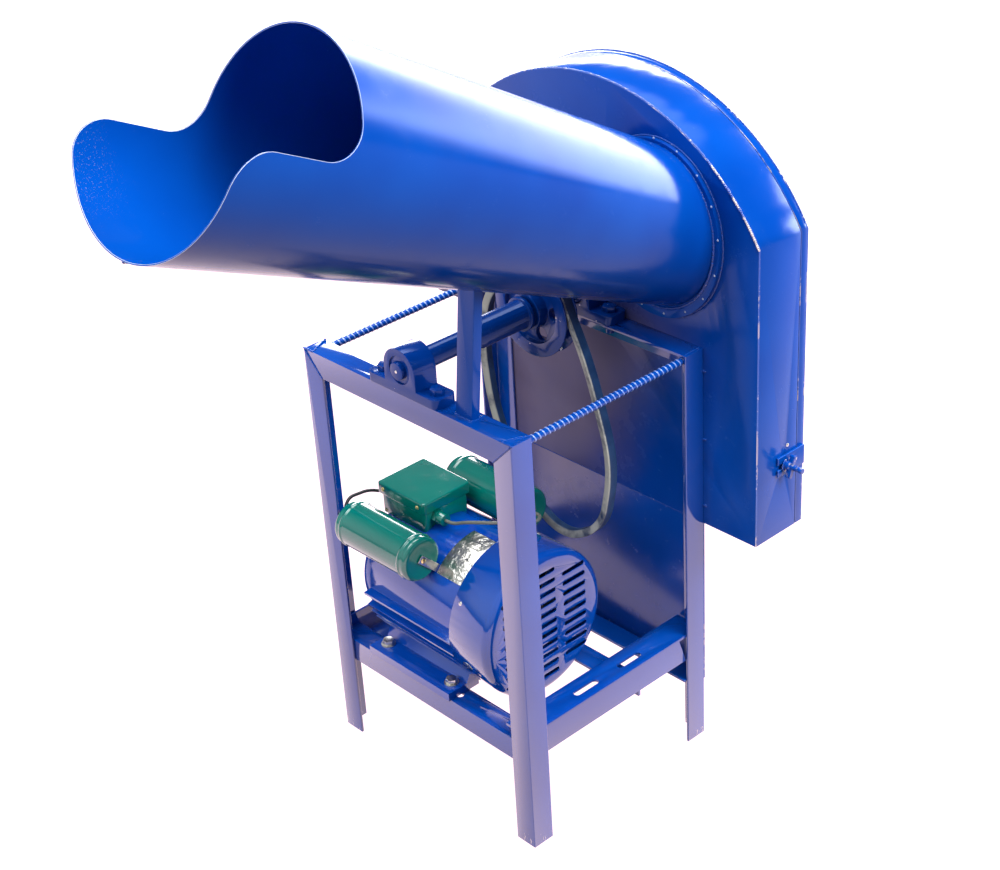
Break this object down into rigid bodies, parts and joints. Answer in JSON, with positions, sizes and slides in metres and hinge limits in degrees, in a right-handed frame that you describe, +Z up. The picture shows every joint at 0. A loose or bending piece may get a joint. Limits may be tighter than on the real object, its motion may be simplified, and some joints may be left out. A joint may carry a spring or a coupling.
{
  "type": "stalk chopper",
  "caption": "Electric chopper on an angle-iron frame with a sloping feed tube, an arched knife-disc casing with a latched door, a slack V-belt and a small foot-mounted motor.",
  "frame": {"origin": "middle of the footprint of the whole object, on the floor", "axes": "+Z up, +Y from the feed tube's mouth to the casing, +X to the right seen from the mouth"},
  "size_m": [0.6922, 0.9139, 1.2289],
  "materials": {
    "blue_paint": "gloss",
    "blue_cast_paint": "gloss over cast metal",
    "green_paint": "gloss",
    "green_plastic": "gloss",
    "belt_rubber": "dull",
    "zinc_steel": "zinc plated",
    "bare_steel": "machined",
    "core_steel": "laminated",
    "black_plastic": "moulded"
  },
  "bodies": {
    "frame": {"bearing_block_front": "blue_cast_paint", "bearing_block_rear": "blue_cast_paint", "bearing_bolts": "blue_paint", "cable_gland": "green_plastic", "capacitor_front": "green_paint", "capacitor_rear": "green_paint", "capacitor_straps": "zinc_steel", "casing_front_plate": "blue_paint", "casing_wrapper": "blue_paint", "data_plate": "zinc_steel", "deflector_panel": "blue_paint", "drive_bell": "blue_cast_paint", "fan_bell": "blue_cast_paint", "fan_cowl": "blue_paint", "feed_tube": "blue_paint", "hinge_fixed": "blue_paint", "latch_stud": "blue_paint", "lead_front": "belt_rubber", "lead_rear": "belt_rubber", "leg_front_left": "blue_paint", "leg_front_right": "blue_paint", "leg_rear_left": "blue_paint", "leg_rear_right": "blue_paint", "motor_bolts": "zinc_steel", "motor_cross_bar": "blue_paint", "motor_foot": "blue_cast_paint", "motor_shell": "blue_cast_paint", "rail_low_front": "blue_paint", "rail_low_left": "blue_paint", "rail_low_rear": "blue_paint", "rail_low_right": "blue_paint", "rail_top_front": "blue_paint", "rail_top_rear": "blue_paint", "stator_core": "core_steel", "terminal_box": "green_paint", "terminal_lid": "green_paint", "tie_rod_left": "blue_paint", "tie_rod_right": "blue_paint", "tube_collar": "blue_paint", "tube_prop": "blue_paint", "v_belt": "belt_rubber"},
    "knife_rotor": {"bearing_insert_front": "bare_steel", "bearing_insert_rear": "bare_steel", "disc_hub": "blue_paint", "driven_pulley": "blue_cast_paint", "knife_1": "bare_steel", "knife_2": "bare_steel", "knife_3": "bare_steel", "knife_disc": "blue_paint", "paddles": "blue_paint", "rotor_shaft": "blue_paint", "shaft_sleeve": "blue_paint"},
    "casing_door": {"door_rim": "blue_paint", "door_skin": "blue_paint", "hinge_door": "blue_paint", "latch_fork": "blue_paint"},
    "latch_washer_body": {"latch_washer": "blue_paint"},
    "latch_nut_body": {"latch_nut": "blue_paint"},
    "motor_rotor": {"motor_shaft": "bare_steel", "motor_fan": "black_plastic"}
  },
  "joints": [
    {"name": "knife_shaft_spin", "type": "hinge", "parent": "frame", "child": "knife_rotor", "pos_m": [0.0061, -0.00262, 0.6915], "axis": [0, 1, 0], "continuous": true},
    {"name": "motor_spin", "type": "hinge", "parent": "frame", "child": "motor_rotor", "pos_m": [-0.2039, 0.11438, 0.285], "axis": [1, 0, 0], "continuous": true},
    {"name": "door_swing", "type": "hinge", "parent": "frame", "child": "casing_door", "pos_m": [-0.3411, 0.44213, 0], "axis": [0, 0, 1], "range_deg": [0, 110]},
    {"name": "latch_washer_slide", "type": "slide", "parent": "frame", "child": "latch_washer_body", "axis": [1, 0, 0], "range_m": [0, 0.005]},
    {"name": "latch_nut_turn", "type": "hinge", "parent": "latch_washer_body", "child": "latch_nut_body", "pos_m": [-0.2039, 0.41488, 0.485], "axis": [1, 0, 0], "range_deg": [0, 1440]}
  ],
  "couplings": [
    {"joint": "latch_nut_turn", "follows": "latch_washer_slide", "rad_per_m": 5026.5}
  ]
}
